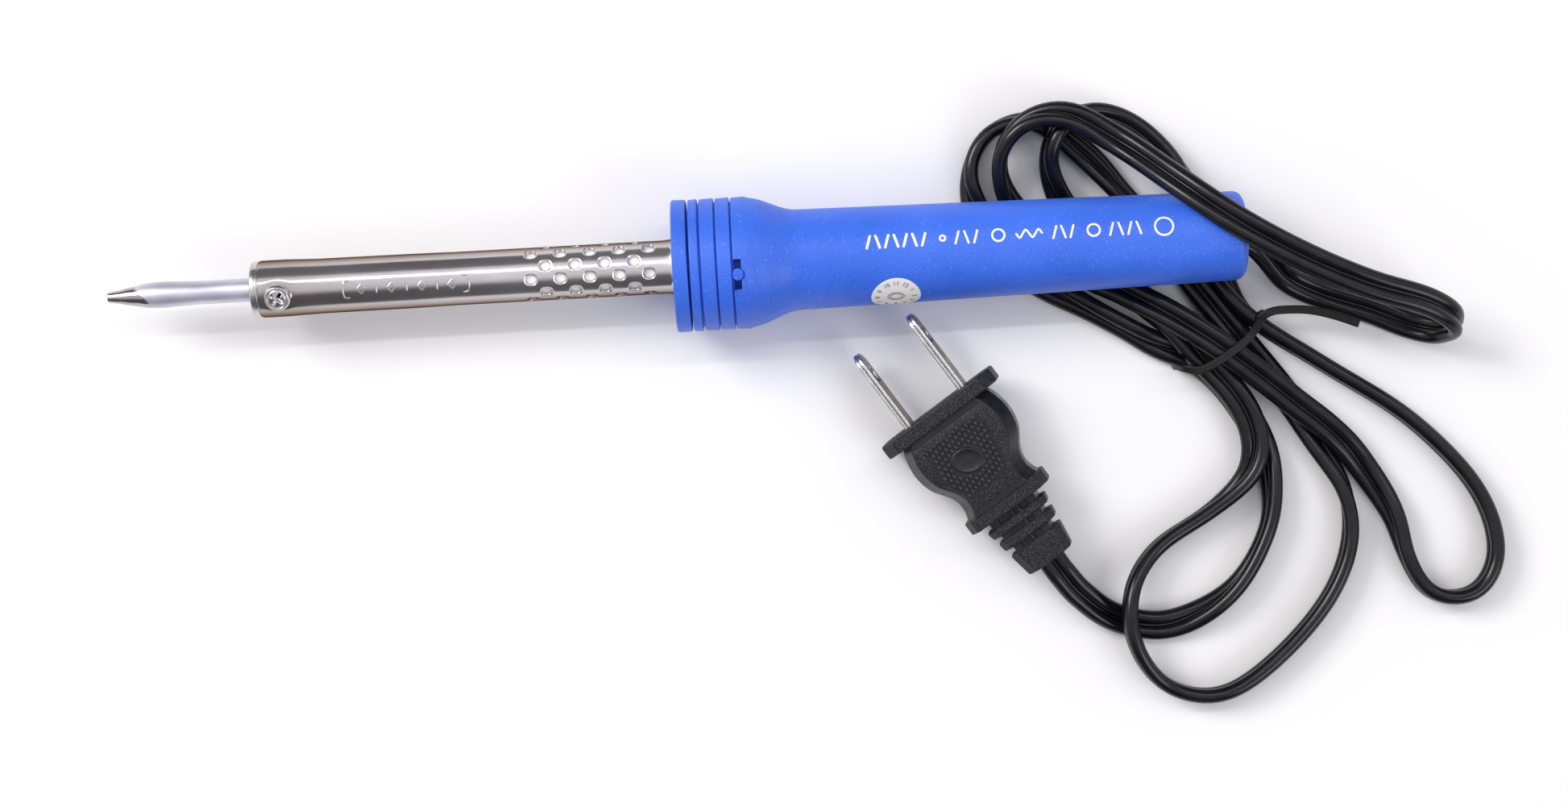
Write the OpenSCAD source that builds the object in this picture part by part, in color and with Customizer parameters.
// Pencil soldering iron with a ribbed collar, a vented barrel, a flat twin cord and a two-blade plug.
// The iron lies along X, tip towards -X, with its collar on the surface at z = 0.
// A station is a distance along the iron, counted from the tip's front end.

/* [Tip] */
// Length of the tip in front of the nose
tip_reach = 27.6; // [26:0.1:30]
// Diameter of the blunt front end
tip_end_d = 1.9; // [1.2:0.1:2.4]
// Largest diameter of the tip's working end
tip_bulge_d = 5; // [4.6:0.1:5.4]
// Diameter of the tip's shank
shank_d = 4.4; // [4:0.1:4.4]
// Length of shank inside the barrel
shank_inside = 41; // [36:1:41]

/* [Barrel] */
// Diameter of the nose band
nose_d = 10.6; // [10.2:0.1:11.4]
// Width of the nose band
nose_w = 1.7; // [1:0.1:2.5]
// Outer diameter of the barrel at its front
barrel_front_d = 10.8; // [10.6:0.1:11.2]
// Outer diameter of the barrel at the vents
barrel_d = 10.1; // [10.1:0.1:10.5]
// Wall of the barrel tube
barrel_wall = 0.5; // [0.4:0.1:0.5]
// Length of barrel between the nose band and the collar
barrel_l = 78; // [76:0.5:84]

/* [Vents] */
// Diameter of a vent hole
vent_d = 2.06; // [1:0.02:2.2]
// Distance between the holes of a row
vent_pitch = 5.55; // [3:0.05:5.55]
// Number of holes in a long row
vents_in_row = 5; // [2:1:5]

/* [Tip screw] */
// Distance of the screw behind the barrel's front edge
screw_at = 3.6; // [3.2:0.1:4]
// Angle of the screw round the barrel, from the top
screw_angle = 21; // [0:1:45]
// Diameter of the screw's head
screw_head_d = 5.1; // [4:0.1:5.2]
// Diameter of the screw's thread
screw_d = 2.9; // [2:0.1:3]

/* [Collar and handle] */
// Diameter of the collar and its ribs
collar_d = 25; // [25:0.5:28]
// Thickness of the collar's front cap
cap_w = 2.8; // [2:0.1:3.5]
// Depth of the grooves between the ribs
groove = 0.8; // [0.3:0.1:1]
// Length of the handle with its ribs
handle_l = 104.5; // [100:0.5:120]
// Diameter of the grip behind the flare
grip_front_d = 19; // [18.6:0.1:21]
// Diameter of the grip at its rear end
grip_rear_d = 16.8; // [16.4:0.1:18.6]
// Diameter of the round date sticker
sticker_d = 9.3; // [6:0.1:11]

/* [Cord and plug] */
// Width of the flat twin cord
cord_w = 5.6; // [5:0.1:5.8]
// Thickness of the flat twin cord
cord_t = 2.8; // [2.4:0.1:3]
// Width of the plug's front flange
plug_w = 25.5; // [24:0.5:28]
// Height of the plug's front flange
plug_h = 13; // [12:0.5:14]
// Length of the blades in front of the plug
blade_l = 17; // [15:0.5:18]

/* [Hidden] */
$fn = 96;

// Fits
running = 0.05;
loose = 0.2;
eps = 0.01;

// Stations of the barrel
s_nose = tip_reach;
s_barrel = s_nose + nose_w;
s_cap = s_barrel + barrel_l;
s_screw = s_barrel + screw_at;
s_front_end = s_barrel + 4.7;
s_taper_end = s_barrel + 10.7;
s_barrel_mid = s_barrel + 28.7;
s_barrel_rear = s_barrel + 36.7;
s_vents = s_cap - 26.8;

// Stations of the handle
cap_gap = 0.4;
s_handle = s_cap + cap_w + cap_gap;
s_sleeve = s_handle + 10.5;
flange_w = 1;
s_shoulder = s_sleeve + flange_w;
s_peg = s_handle + 8.9;
s_flare = s_handle + 20.5;
s_end = s_handle + handle_l;
s_rear_wall = s_end - 9;
iron_l = s_end;
axis_z = collar_d / 2;

// Radii of the barrel, outside, from front to rear
barrel_front_r = barrel_front_d / 2;
barrel_r = barrel_d / 2;
barrel_mid_r = barrel_r + 0.1;

// Tip, bush and screw
bush_bore_r = shank_d / 2 + running;
spigot_r = barrel_front_r - barrel_wall;
screw_hole_r = screw_d / 2 + running;
screw_head_r = screw_head_d / 2;
screw_head_low = barrel_front_r + 0.15;
screw_head_top = screw_head_low + 1.6;
screw_end = shank_d / 2 + 0.3;

// Heater: layers from inside to outside
core_in_r = shank_d / 2 + 0.3;
core_r = core_in_r + 0.5;
mica_t = 0.2;
wire_layer = 0.6;
winding_in_r = core_r + mica_t;
winding_r = winding_in_r + wire_layer;
s_core = s_taper_end - 2;
s_core_end = s_core + 32;
s_winding = s_core + 5;
s_winding_end = s_core + 28;
winding_turns = 23;

// Leads
lead_r = 0.3;
lead_tab = 0.9;
lead_out_r = winding_in_r + lead_r;
lead_in_r = 1.5;
s_lead_tab = s_core_end + 2;
insulator_r = 4.3;
s_insulator = s_core_end + 7;
s_insulator_end = s_cap - 1.3;
s_crimp = s_shoulder + 4;
crimp_l = 9;
crimp_hold = 3;
s_crimp_end = s_crimp + crimp_l;
core_wire_r = 0.7;
cord_core_r = cord_t / 2 - 0.1;
s_cord = s_end - 10.5;
s_stop = s_cord - 6;

// Collar and handle
collar_r = collar_d / 2;
sleeve_r = collar_r - 2.7;
sleeve_in_r = sleeve_r - 2.2;
barrel_flange_r = sleeve_r - 0.8;
peg_r = 1.15;
peg_hole_r = peg_r + running;
peg_angle = 13;
peg_slot = [1.4, 5.8];
grip_bore_r = 7;
rear_hole_r = 4;
rear_round = 1.8;
rim = 0.25;
// Front and rear edge of each rib, counted from the handle's front edge
ribs = [[0, 1.7], [2.1, 4.8], [5.1, 7.75], [8.05, 10.5]];
flare_steps = 12;
sticker_at = 38.2;
sticker_angle = 60;
sticker_t = 0.1;

// Cord: its section, as corners [across, up] of a flat eight-sided tube
cord_r = cord_t / 2;
cord_half = cord_w / 2;
cord_section = [
    [cord_half, -cord_r / 2], [cord_half, cord_r / 2], [cord_half - 0.8, cord_r], [0.8 - cord_half, cord_r],
    [-cord_half, cord_r / 2], [-cord_half, -cord_r / 2], [0.8 - cord_half, -cord_r], [cord_half - 0.8, -cord_r]
];

// Route of the cord's centre line, as [x, y, z, roll]: out of the handle, through the tied loops, to the plug.
// A roll of 0 lies flat and a roll of 90 stands on edge.
cord_route = [
    [s_cord - iron_l / 2, 0, axis_z, 0], [107.6, 0, axis_z, 0], [112.6, -3.8, 9.4, 0], [117.2, -8.6, 3.8, -5],
    [125, -12.2, 1.7, 0], [133, -15, 1.6, -5], [140, -18.4, 2.2, -15], [146, -20.2, 6.2, -30],
    [147, -18.4, 13.2, -150], [141, -14.6, 17.4, -165], [130, -11, 19.8, -175], [118, -5.5, 21.6, -180],
    [106, 1.5, 22.8, -180], [96, 9.5, 19.3, -180], [86, 18.5, 11.8, -180], [77, 24, 9.9, -165],
    [68.8, 24.6, 9.4, -120], [63.3, 19.3, 7.3, -90], [63.3, 12.3, 4.2, -65], [68, 4.5, 1.9, -10],
    [76, -2.5, 1.7, 0], [84, -8, 4.2, 0], [88.5, -10.9, 5.6, 0], [94, -14.3, 7.2, 0],
    [104, -21.5, 7.6, 0], [117, -32.3, 5.2, 0], [129, -44.5, 2.2, 15], [135, -54.5, 2.8, 60],
    [137.2, -63, 3, 90], [141.6, -70.4, 3, 90], [150.2, -70.6, 3, 90], [154.6, -62.5, 3, 90],
    [151, -50, 3, 90], [139, -36.3, 3, 90], [123, -25, 3, 90], [109, -14.8, 3, 85],
    [103.3, -4.5, 1.9, 15], [101, 4, 1.7, 15], [98.5, 12.5, 3, 75], [94, 19, 3, 90],
    [88, 24.2, 3, 90], [80.5, 26.2, 4.9, 85], [74, 22.9, 7.3, 75], [72.2, 16.2, 5.2, 75],
    [75, 8, 2.4, 40], [81, -0.5, 1.7, 0], [87.5, -9, 1.9, 0], [95, -17.2, 4.6, 0],
    [100.6, -23.8, 4.7, 0], [105.6, -29.8, 4.8, 5], [108.6, -36, 4.9, 15], [109, -41.5, 4.7, 35],
    [106.8, -46.5, 3.9, 65], [99.5, -52.5, 3, 90], [89, -58.8, 3.4, 90], [83.5, -67, 5.6, 90],
    [83.8, -77, 5.8, 90], [90, -85.5, 3, 90], [100.5, -87.5, 3, 90], [112, -80.5, 3, 90],
    [122.5, -69, 3, 90], [126.8, -57, 3, 90], [124.5, -45, 2.7, 60], [116.5, -31.5, 1.8, 5],
    [107, -18.5, 1.8, 0], [99, -7, 1.7, 0], [92.5, 1.5, 1.7, 0], [86.5, 9.5, 2.6, 50],
    [79.5, 18, 1.9, 15], [70.5, 24.5, 2.9, 60], [61.5, 23, 3, 90], [57, 15, 3, 85],
    [59.5, 5, 1.9, 10], [67, -4.5, 1.7, 0], [78, -11.5, 2.6, 50], [87, -16.9, 2.7, 55],
    [93, -19.9, 2.2, 25], [98.5, -22.6, 1.7, 0], [103, -26.6, 1.7, 0], [106.8, -31.8, 1.7, 0],
    [110, -38, 1.9, 10], [112, -46, 2.7, 60], [110.9, -56, 3, 85], [103.5, -67.5, 2.8, 70],
    [91.5, -73.6, 1.7, 10], [81, -71.9, 2.2, 0], [74.3, -67, 5.5, 0], [70.4, -62.4, 7.9, 5],
    [68.4, -59.4, 8.15, 10]
];

// Plug: its own X runs from the blades to the cord
plug_place = [48, -29.1, 8.15];
plug_angle = -56;
plug_roll = 10;
front_flange_l = 2.9;
rear_flange_at = 21.3;
relief_at = 24;
plug_l = 36.5;
body_h = 11.5;
rear_flange_size = [2.7, 18, 11];
relief_w = 13.6;
relief_h = 8;
relief_end_w = 10.4;
// Half-widths of the body, as [along, half-width]
body_outline = [[2.8, 9.6], [5.6, 10.7], [9.5, 11], [12.9, 10.2], [16.3, 7.9], [18.5, 7.4], [21.4, 8.2]];
relief_slots = [24.65, 27.65, 30.75];
relief_slot_w = 1.2;
relief_slot_l = 5.6;
blade_gap = 12.7;
blade_t = 1.5;
blade_h = 6.35;
blade_hold = 6;
blade_crimp_r = 1.3;
blade_crimp_l = 7;
blade_hole_r = 1.6;
blade_hole_at = 12;
blade_bevel = [1.8, 1.3];

// Tie: a strip round the bundle with a loose tail
tie_w = 1.6;
tie_t = 0.8;
tie_size = [19.5, 10];
tie_place = [103.6, -19.4];
tie_angle = 27;
tie_tail = [[112.2, -14.9], [120.1, -14.7], [129.4, -17.7]];
tie_tail_z = 7.4;

// Colours
blue = [0.16, 0.35, 0.86];
steel = [0.72, 0.7, 0.73];
bright = [0.86, 0.86, 0.88];
black = [0.06, 0.06, 0.07];
ceramic = [0.95, 0.94, 0.9];
mica = [0.78, 0.68, 0.42];
copper = [0.8, 0.5, 0.3];

// Helpers

// Turns an outline of [radius, station] points round the iron's axis
module turned(outline) {
    translate([-iron_l / 2, 0, axis_z])
        rotate([0, 90, 0])
            rotate_extrude()
                polygon(outline);
}

// Places something at a station with its own Z pointing outwards, at an angle from the top
module radial(station, angle) {
    translate([station - iron_l / 2, 0, axis_z])
        rotate([angle, 0, 0])
            children();
}

// A round rod along the iron, at a sideways offset
module rod(from, to, r, side = 0) {
    translate([from - iron_l / 2, side, axis_z])
        rotate([0, 90, 0])
            cylinder(h = to - from, r = r);
}

// A tube along the iron's axis
module tube(from, to, r_in, r_out) {
    turned([[r_in, from], [r_out, from], [r_out, to], [r_in, to]]);
}

// Front of the iron

module soldering_tip() {
    shank_r = shank_d / 2;
    bulge_r = tip_bulge_d / 2;
    color(steel)
        turned([
            [0, 0], [tip_end_d / 2, 0], [1.3, 2.4], [1.7, 4], [1.9, 5.5], [2.3, 7], [bulge_r - 0.1, 8.5],
            [bulge_r, 10], [bulge_r - 0.1, 13], [shank_r + 0.08, 15.5], [shank_r, 17],
            [shank_r, s_nose + shank_inside], [0, s_nose + shank_inside]
        ]);
}

module tip_screw() {
    slot_w = 0.6;
    slot_l = 2.8;
    slot_deep = 0.8;
    color(bright)
        radial(s_screw, screw_angle)
            difference() {
                union() {
                    translate([0, 0, screw_end])
                        cylinder(h = screw_head_low - screw_end + eps, r = screw_d / 2);
                    rotate_extrude()
                        polygon([
                            [0, screw_head_low], [screw_head_r, screw_head_low],
                            [screw_head_r, screw_head_low + 0.8], [screw_head_r - 0.4, screw_head_top - 0.25],
                            [screw_head_r - 1.3, screw_head_top], [0, screw_head_top]
                        ]);
                }
                for (turn = [45, 135])
                    rotate([0, 0, turn])
                        translate([-slot_l / 2, -slot_w / 2, screw_head_top - slot_deep])
                            cube([slot_l, slot_w, slot_deep + 1]);
            }
}

module nose_bush() {
    nose_r = nose_d / 2;
    bevel = 0.4;
    color(steel)
        difference() {
            turned([
                [bush_bore_r, s_nose], [nose_r - bevel, s_nose], [nose_r, s_nose + bevel], [nose_r, s_barrel],
                [spigot_r, s_barrel], [spigot_r, s_front_end], [spigot_r - 0.3, s_front_end],
                [spigot_r - 0.3, s_taper_end], [core_r, s_taper_end], [core_r, s_core], [bush_bore_r, s_core]
            ]);
            radial(s_screw, screw_angle)
                cylinder(h = barrel_front_r, r = screw_hole_r);
        }
}

// One row of vents, as radial cutters
module vent_row(first, count, angle) {
    for (i = [0 : count - 1])
        radial(first + i * vent_pitch, angle)
            cylinder(h = barrel_r + 1, r = vent_d / 2);
}

module barrel_tube() {
    wall = barrel_wall;
    color(bright)
        difference() {
            turned([
                [barrel_front_r - wall, s_barrel], [barrel_front_r, s_barrel], [barrel_front_r, s_front_end],
                [barrel_mid_r + 0.03, s_taper_end], [barrel_mid_r, s_barrel_mid], [barrel_r, s_barrel_rear],
                [barrel_r, s_sleeve], [barrel_flange_r, s_sleeve], [barrel_flange_r, s_shoulder],
                [barrel_r - wall, s_shoulder], [barrel_r - wall, s_barrel_rear],
                [barrel_mid_r - wall, s_barrel_mid], [barrel_mid_r + 0.03 - wall, s_taper_end],
                [barrel_front_r - wall, s_front_end]
            ]);
            radial(s_screw, screw_angle)
                cylinder(h = barrel_front_r + 1, r = screw_d / 2 + loose);
            for (i = [0 : 5]) {
                vent_row(s_vents, vents_in_row, 60 * i + 15);
                vent_row(s_vents + vent_pitch / 2, vents_in_row - 1, 60 * i + 45);
            }
        }
}

// Heater

module heater_core() {
    color(ceramic)
        tube(s_core, s_core_end, core_in_r, core_r);
}

module mica_inner() {
    color(mica)
        tube(s_winding - 1, s_winding_end + 1, core_r, winding_in_r);
}

module heater_winding() {
    pitch = (s_winding_end - s_winding) / winding_turns;
    base_r = winding_in_r + wire_layer / 3;
    turns = [
        for (i = [0 : winding_turns - 1])
            let (s = s_winding + i * pitch)
            each [[winding_r, s], [winding_r, s + pitch / 2], [base_r, s + pitch / 2], [base_r, s + pitch]]
    ];
    color(copper)
        turned(concat([[winding_in_r, s_winding]], turns, [[winding_in_r, s_winding_end]]));
}

module mica_outer() {
    color(mica)
        tube(s_winding - 1, s_winding_end + 1, winding_r, winding_r + mica_t);
}

module lead_insulator() {
    color(ceramic)
        difference() {
            tube(s_insulator, s_insulator_end, 0.4, insulator_r);
            for (side = [-1, 1])
                rod(s_insulator - 1, s_insulator_end + 1, lead_r + 0.1, side * lead_in_r);
        }
}

// One heater lead: along the winding, across a welded tab, and through the insulator to its crimp
module heater_lead(side) {
    middle = side * (lead_out_r + lead_in_r) / 2;
    tab_w = lead_out_r - lead_in_r + lead_tab;
    color(steel) {
        rod(s_winding_end, s_lead_tab, lead_r, side * lead_out_r);
        rod(s_lead_tab, s_crimp + crimp_hold, lead_r, side * lead_in_r);
        translate([s_lead_tab - iron_l / 2, middle, axis_z])
            cube([lead_tab, tab_w, lead_tab], center = true);
    }
}

module heater_lead_a() {
    heater_lead(1);
}

module heater_lead_b() {
    heater_lead(-1);
}

module lead_sleeve(side) {
    color(ceramic)
        difference() {
            rod(s_insulator_end, s_crimp, 0.9, side * lead_in_r);
            rod(s_insulator_end - 1, s_crimp + 1, lead_r + running, side * lead_in_r);
        }
}

module lead_sleeve_a() {
    lead_sleeve(1);
}

module lead_sleeve_b() {
    lead_sleeve(-1);
}

// One crimp, with the lead in its front bore and the cord's copper in its rear bore
module crimp(side) {
    color(bright)
        difference() {
            rod(s_crimp, s_crimp_end, 1.25, side * lead_in_r);
            rod(s_crimp - 1, s_crimp + crimp_hold, lead_r, side * lead_in_r);
            rod(s_crimp + crimp_hold, s_crimp_end + 1, core_wire_r, side * lead_in_r);
        }
}

module crimp_a() {
    crimp(1);
}

module crimp_b() {
    crimp(-1);
}

// One insulated half of the cord inside the handle, with its bared end in the crimp
module cord_core(side) {
    color(black) {
        rod(s_crimp + crimp_hold, s_crimp_end + eps, core_wire_r, side * lead_in_r);
        rod(s_crimp_end, s_cord, cord_core_r, side * (cord_core_r + running));
    }
}

module cord_core_a() {
    cord_core(1);
}

module cord_core_b() {
    cord_core(-1);
}

// Band crimped round both halves of the cord, too wide to pass the grommet
module cord_stop() {
    stop_l = 5;
    stop_w = 9;
    stop_h = 5;
    color(steel)
        difference() {
            translate([s_stop - iron_l / 2, -stop_w / 2, axis_z - stop_h / 2])
                cube([stop_l, stop_w, stop_h]);
            for (side = [-1, 1])
                rod(s_stop - 1, s_stop + stop_l + 1, cord_core_r, side * (cord_core_r + running));
            translate([s_stop - iron_l / 2 - 1, -cord_core_r - running, axis_z - 0.6])
                cube([stop_l + 2, 2 * (cord_core_r + running), 1.2]);
        }
}

// Collar and handle

module front_cap() {
    bore_r = barrel_r + running;
    color(blue) {
        turned([
            [bore_r, s_cap], [collar_r - rim, s_cap], [collar_r, s_cap + rim],
            [collar_r, s_cap + cap_w - rim], [collar_r - rim, s_cap + cap_w], [sleeve_r, s_cap + cap_w],
            [sleeve_r, s_sleeve], [sleeve_in_r, s_sleeve], [sleeve_in_r, s_cap + cap_w],
            [bore_r, s_cap + cap_w]
        ]);
        for (angle = [peg_angle, peg_angle + 180])
            radial(s_peg, angle)
                translate([0, 0, sleeve_r - 1])
                    cylinder(h = collar_r - sleeve_r + 0.8, r = peg_r);
    }
}

// Outline of the ribs, front to rear, as [radius, station]
function rib_outline() = [
    for (rib = ribs)
        let (front = s_handle + rib[0], rear = s_handle + rib[1])
        each [
            [collar_r - groove, front], [collar_r - rim, front], [collar_r, front + rim],
            [collar_r, rear - rim], [collar_r - rim, rear], [collar_r - groove, rear]
        ]
];

// Outline of the flare from the last rib down to the grip
function flare_outline() = [
    for (i = [1 : flare_steps])
        let (share = i / flare_steps)
        [
            (collar_r - rim + grip_front_d / 2) / 2 + (collar_r - rim - grip_front_d / 2) / 2 * cos(180 * share),
            s_sleeve + share * (s_flare - s_sleeve)
        ]
];

// Outline of the rounded rear corner
function rear_outline() = [
    for (a = [0 : 15 : 90])
        [grip_rear_d / 2 - rear_round * (1 - cos(a)), s_end - rear_round * (1 - sin(a))]
];

module handle() {
    counterbore_r = sleeve_r + loose;
    color(blue)
        difference() {
            turned(concat(
                [[counterbore_r, s_handle]],
                [for (p = rib_outline()) if (p[1] < s_sleeve || p[0] > collar_r - groove) p],
                flare_outline(),
                rear_outline(),
                [
                    [rear_hole_r, s_end], [rear_hole_r, s_rear_wall], [grip_bore_r, s_rear_wall],
                    [grip_bore_r, s_shoulder], [counterbore_r, s_shoulder]
                ]
            ));
            for (angle = [peg_angle, peg_angle + 180])
                radial(s_peg, angle) {
                    cylinder(h = collar_r + 1, r = peg_hole_r);
                    translate([-peg_slot[0] / 2, -peg_slot[1] / 2, 0])
                        cube([peg_slot[0], peg_slot[1], collar_r + 1]);
                }
        }
}

module cord_grommet() {
    front = s_rear_wall - 1.2;
    color(black)
        difference() {
            turned([
                [0, front], [rear_hole_r + 1.3, front], [rear_hole_r + 1.3, s_rear_wall],
                [rear_hole_r, s_rear_wall], [rear_hole_r, s_end - 0.2], [0, s_end - 0.2]
            ]);
            translate([front - 1 - iron_l / 2, 0, axis_z])
                rotate([90, 0, 90])
                    linear_extrude(iron_l)
                        polygon(cord_section);
        }
}

// Radius of the grip's cone at a station
function grip_r(station) =
    (grip_front_d + (grip_rear_d - grip_front_d) * (station - s_flare) / (s_end - rear_round - s_flare)) / 2;

module date_sticker() {
    middle = s_handle + sticker_at;
    front = middle - sticker_d;
    rear = middle + sticker_d;
    color("white")
        intersection() {
            radial(middle, sticker_angle)
                cylinder(h = collar_r, r = sticker_d / 2);
            turned([
                [grip_r(front), front], [grip_r(front) + sticker_t, front],
                [grip_r(rear) + sticker_t, rear], [grip_r(rear), rear]
            ]);
        }
}

// Cord

function unit(v) = v / norm(v);
function route_place(i) = [cord_route[i][0], cord_route[i][1], cord_route[i][2]];
function route_heading(i) =
    unit(route_place(min(i + 1, len(cord_route) - 1)) - route_place(max(i - 1, 0)));

// Corners of the tube at one point of the route, kept on or above the surface
function cord_ring(i) =
    let (
        ahead = route_heading(i),
        level = unit(cross([0, 0, 1], ahead)),
        up = cross(ahead, level),
        roll = cord_route[i][3],
        across = cos(roll) * level + sin(roll) * up,
        over = cross(ahead, across)
    )
    [
        for (corner = cord_section)
            let (p = route_place(i) + corner[0] * across + corner[1] * over)
            [p[0], p[1], max(p[2], 0)]
    ];

module cord() {
    sides = len(cord_section);
    rings = len(cord_route);
    points = [for (i = [0 : rings - 1]) each cord_ring(i)];
    walls = [
        for (i = [0 : rings - 2], k = [0 : sides - 1])
            let (a = i * sides + k, b = i * sides + (k + 1) % sides)
            each [[a, b, a + sides], [b, b + sides, a + sides]]
    ];
    start = [for (k = [sides - 1 : -1 : 0]) k];
    finish = [for (k = [0 : sides - 1]) (rings - 1) * sides + k];
    color(black)
        polyhedron(points = points, faces = concat(walls, [start], [finish]));
}

// A flat shape with round ends, centred
module oval(length, width) {
    square([length - width, width], center = true);
    for (side = [-1, 1])
        translate([side * (length - width) / 2, 0])
            circle(d = width);
}

// A straight length of the tie's tail between two places
module tie_strip(from, to) {
    run = to - from;
    translate([from[0], from[1], tie_tail_z])
        rotate([0, 0, atan2(run[1], run[0])])
            translate([-tie_t / 2, -tie_w / 2, 0])
                cube([norm(run) + tie_t, tie_w, tie_t]);
}

module twist_tie() {
    color([0.12, 0.12, 0.13]) {
        translate([tie_place[0], tie_place[1], tie_size[1] / 2])
            rotate([90, 0, tie_angle])
                translate([0, 0, -tie_w / 2])
                    linear_extrude(tie_w)
                        difference() {
                            oval(tie_size[0], tie_size[1]);
                            oval(tie_size[0] - 2 * tie_t, tie_size[1] - 2 * tie_t);
                        }
        for (i = [0 : len(tie_tail) - 2])
            tie_strip(tie_tail[i], tie_tail[i + 1]);
    }
}

// Plug

module in_plug() {
    translate(plug_place)
        rotate([plug_roll, 0, plug_angle])
            children();
}

// One blade in the plug's own axes, with the crimp that holds the cord's copper
module blade(side) {
    tip_h = blade_h / 2 - blade_bevel[1];
    translate([0, side * blade_gap / 2, 0]) {
        rotate([90, 0, 0])
            linear_extrude(blade_t, center = true)
                polygon([
                    [-blade_l, -tip_h], [blade_bevel[0] - blade_l, -blade_h / 2], [blade_hold, -blade_h / 2],
                    [blade_hold, blade_h / 2], [blade_bevel[0] - blade_l, blade_h / 2], [-blade_l, tip_h]
                ]);
        translate([blade_hold - eps, 0, 0])
            rotate([0, 90, 0])
                cylinder(h = blade_crimp_l, r = blade_crimp_r);
    }
}

module drilled_blade(side) {
    color(bright)
        in_plug()
            difference() {
                blade(side);
                translate([-blade_hole_at, side * blade_gap / 2, 0])
                    rotate([90, 0, 0])
                        cylinder(h = 2 * blade_t, r = blade_hole_r, center = true);
            }
}

module plug_blade_a() {
    drilled_blade(1);
}

module plug_blade_b() {
    drilled_blade(-1);
}

module plug_flange() {
    half_w = plug_w / 2;
    half_h = plug_h / 2;
    corner = 2.8;
    rotate([90, 0, 90])
        linear_extrude(front_flange_l)
            polygon([
                [half_w, -half_h + corner], [half_w, half_h - corner], [half_w - corner, half_h],
                [corner - half_w, half_h], [-half_w, half_h - corner], [-half_w, corner - half_h],
                [corner - half_w, -half_h], [half_w - corner, -half_h]
            ]);
}

module plug_relief() {
    difference() {
        translate([0, 0, -relief_h / 2])
            linear_extrude(relief_h)
                polygon([
                    [relief_at, -relief_w / 2], [plug_l, -relief_end_w / 2],
                    [plug_l, relief_end_w / 2], [relief_at, relief_w / 2]
                ]);
        for (at = relief_slots, side = [-1, 1])
            translate([at, side * relief_w / 2, 0])
                cube([relief_slot_w, relief_slot_l, relief_h + 1], center = true);
    }
}

module plug_body() {
    mirrored = [for (i = [len(body_outline) - 1 : -1 : 0]) [body_outline[i][0], -body_outline[i][1]]];
    color([0.1, 0.1, 0.11])
        in_plug()
            difference() {
                union() {
                    plug_flange();
                    translate([0, 0, -body_h / 2])
                        linear_extrude(body_h)
                            polygon(concat(body_outline, mirrored));
                    translate([rear_flange_at, -rear_flange_size[1] / 2, -rear_flange_size[2] / 2])
                        cube(rear_flange_size);
                    plug_relief();
                }
                blade(1);
                blade(-1);
            }
}

soldering_tip();
tip_screw();
nose_bush();
barrel_tube();
heater_core();
mica_inner();
heater_winding();
mica_outer();
lead_insulator();
heater_lead_a();
heater_lead_b();
lead_sleeve_a();
lead_sleeve_b();
crimp_a();
crimp_b();
cord_core_a();
cord_core_b();
cord_stop();
front_cap();
handle();
cord_grommet();
date_sticker();
cord();
twist_tie();
plug_body();
plug_blade_a();
plug_blade_b();
